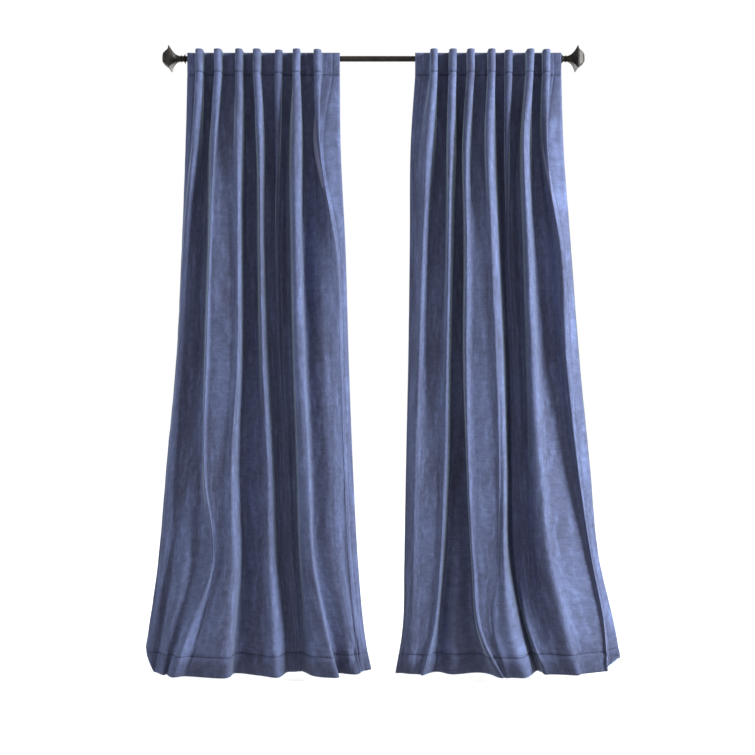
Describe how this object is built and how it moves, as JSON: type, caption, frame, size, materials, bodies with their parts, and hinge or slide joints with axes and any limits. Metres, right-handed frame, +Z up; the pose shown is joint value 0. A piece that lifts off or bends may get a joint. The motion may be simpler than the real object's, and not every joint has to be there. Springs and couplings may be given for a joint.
{
  "type": "window curtains on a rod",
  "caption": "Pair of back-tab velvet curtain panels gathered on a telescoping metal rod with square flared finials and wall brackets.",
  "frame": {"origin": "middle of the left wall plate's back face, on the wall", "axes": "+X to the right along the rod, +Y into the wall, +Z up"},
  "size_m": [1.65, 0.2383, 2.1545],
  "materials": {
    "cloth": "matt velvet pile with a soft sheen",
    "tab": "matt woven backing",
    "bronze": "satin dark bronze",
    "steel": "zinc-plated"
  },
  "bodies": {
    "root": {"outer_tube": "bronze", "left_wall_plate": "bronze", "left_bracket_arm": "bronze", "left_wall_screw_upper": "steel", "left_wall_screw_lower": "steel", "left_tube_insert": "steel", "left_pleat_1": "cloth", "left_back_tab_1": "tab"},
    "right_rod": {"inner_tube": "bronze", "right_wall_plate": "bronze", "right_bracket_arm": "bronze", "right_wall_screw_upper": "steel", "right_wall_screw_lower": "steel", "right_tube_insert": "steel", "right_pleat_1": "cloth", "right_back_tab_1": "tab"},
    "left_finial_unit": {"left_finial": "bronze", "left_finial_collar": "bronze", "left_finial_stud": "steel"},
    "right_finial_unit": {"right_finial": "bronze", "right_finial_collar": "bronze", "right_finial_stud": "steel"},
    "left_thumb_screw_unit": {"left_thumb_screw": "bronze"},
    "right_thumb_screw_unit": {"right_thumb_screw": "bronze"},
    "left_leading_edge": {"left_pleat_8": "cloth", "left_back_tab_8": "tab"},
    "left_gather_2": {"left_pleat_2": "cloth", "left_back_tab_2": "tab"},
    "left_gather_3": {"left_pleat_3": "cloth", "left_back_tab_3": "tab"},
    "left_gather_4": {"left_pleat_4": "cloth", "left_back_tab_4": "tab"},
    "left_gather_5": {"left_pleat_5": "cloth", "left_back_tab_5": "tab"},
    "left_gather_6": {"left_pleat_6": "cloth", "left_back_tab_6": "tab"},
    "left_gather_7": {"left_pleat_7": "cloth", "left_back_tab_7": "tab"},
    "right_leading_edge": {"right_pleat_8": "cloth", "right_back_tab_8": "tab"},
    "right_gather_2": {"right_pleat_2": "cloth", "right_back_tab_2": "tab"},
    "right_gather_3": {"right_pleat_3": "cloth", "right_back_tab_3": "tab"},
    "right_gather_4": {"right_pleat_4": "cloth", "right_back_tab_4": "tab"},
    "right_gather_5": {"right_pleat_5": "cloth", "right_back_tab_5": "tab"},
    "right_gather_6": {"right_pleat_6": "cloth", "right_back_tab_6": "tab"},
    "right_gather_7": {"right_pleat_7": "cloth", "right_back_tab_7": "tab"}
  },
  "joints": [
    {"name": "rod_extend", "type": "slide", "parent": "root", "child": "right_rod", "axis": [1, 0, 0], "range_m": [0, 0.384]},
    {"name": "left_finial_screw", "type": "hinge", "parent": "root", "child": "left_finial_unit", "pos_m": [-0.054, -0.089, 0.008], "axis": [-1, 0, 0], "continuous": true},
    {"name": "right_finial_screw", "type": "hinge", "parent": "right_rod", "child": "right_finial_unit", "pos_m": [1.236, -0.089, 0.008], "axis": [1, 0, 0], "continuous": true},
    {"name": "left_thumb_screw_turn", "type": "hinge", "parent": "root", "child": "left_thumb_screw_unit", "pos_m": [0, -0.089, -0.01], "axis": [0, 0, 1], "continuous": true},
    {"name": "right_thumb_screw_turn", "type": "hinge", "parent": "right_rod", "child": "right_thumb_screw_unit", "pos_m": [1.18, -0.089, -0.01], "axis": [0, 0, 1], "continuous": true},
    {"name": "left_draw", "type": "slide", "parent": "root", "child": "left_leading_edge", "axis": [1, 0, 0], "range_m": [-0.1, 0.04]},
    {"name": "left_gather_2_slide", "type": "slide", "parent": "root", "child": "left_gather_2", "axis": [1, 0, 0], "range_m": [-0.0051, 0.0023]},
    {"name": "left_gather_3_slide", "type": "slide", "parent": "root", "child": "left_gather_3", "axis": [1, 0, 0], "range_m": [-0.0185, 0.0077]},
    {"name": "left_gather_4_slide", "type": "slide", "parent": "root", "child": "left_gather_4", "axis": [1, 0, 0], "range_m": [-0.0371, 0.0151]},
    {"name": "left_gather_5_slide", "type": "slide", "parent": "root", "child": "left_gather_5", "axis": [1, 0, 0], "range_m": [-0.0581, 0.0235]},
    {"name": "left_gather_6_slide", "type": "slide", "parent": "root", "child": "left_gather_6", "axis": [1, 0, 0], "range_m": [-0.0778, 0.0314]},
    {"name": "left_gather_7_slide", "type": "slide", "parent": "root", "child": "left_gather_7", "axis": [1, 0, 0], "range_m": [-0.093, 0.0375]},
    {"name": "right_draw", "type": "slide", "parent": "right_rod", "child": "right_leading_edge", "axis": [-1, 0, 0], "range_m": [-0.1, 0.04]},
    {"name": "right_gather_2_slide", "type": "slide", "parent": "right_rod", "child": "right_gather_2", "axis": [-1, 0, 0], "range_m": [-0.0057, 0.0026]},
    {"name": "right_gather_3_slide", "type": "slide", "parent": "right_rod", "child": "right_gather_3", "axis": [-1, 0, 0], "range_m": [-0.0194, 0.0081]},
    {"name": "right_gather_4_slide", "type": "slide", "parent": "right_rod", "child": "right_gather_4", "axis": [-1, 0, 0], "range_m": [-0.0388, 0.0158]},
    {"name": "right_gather_5_slide", "type": "slide", "parent": "right_rod", "child": "right_gather_5", "axis": [-1, 0, 0], "range_m": [-0.06, 0.0243]},
    {"name": "right_gather_6_slide", "type": "slide", "parent": "right_rod", "child": "right_gather_6", "axis": [-1, 0, 0], "range_m": [-0.08, 0.0323]},
    {"name": "right_gather_7_slide", "type": "slide", "parent": "right_rod", "child": "right_gather_7", "axis": [-1, 0, 0], "range_m": [-0.0941, 0.038]}
  ],
  "couplings": [
    {"joint": "left_gather_2_slide", "follows": "left_draw", "ratio": 0.0461},
    {"joint": "left_gather_3_slide", "follows": "left_draw", "ratio": 0.1802},
    {"joint": "left_gather_4_slide", "follows": "left_draw", "ratio": 0.366},
    {"joint": "left_gather_5_slide", "follows": "left_draw", "ratio": 0.5757},
    {"joint": "left_gather_6_slide", "follows": "left_draw", "ratio": 0.7734},
    {"joint": "left_gather_7_slide", "follows": "left_draw", "ratio": 0.9245},
    {"joint": "right_gather_2_slide", "follows": "right_draw", "ratio": 0.0516},
    {"joint": "right_gather_3_slide", "follows": "right_draw", "ratio": 0.1892},
    {"joint": "right_gather_4_slide", "follows": "right_draw", "ratio": 0.3826},
    {"joint": "right_gather_5_slide", "follows": "right_draw", "ratio": 0.5953},
    {"joint": "right_gather_6_slide", "follows": "right_draw", "ratio": 0.7951},
    {"joint": "right_gather_7_slide", "follows": "right_draw", "ratio": 0.9363}
  ]
}
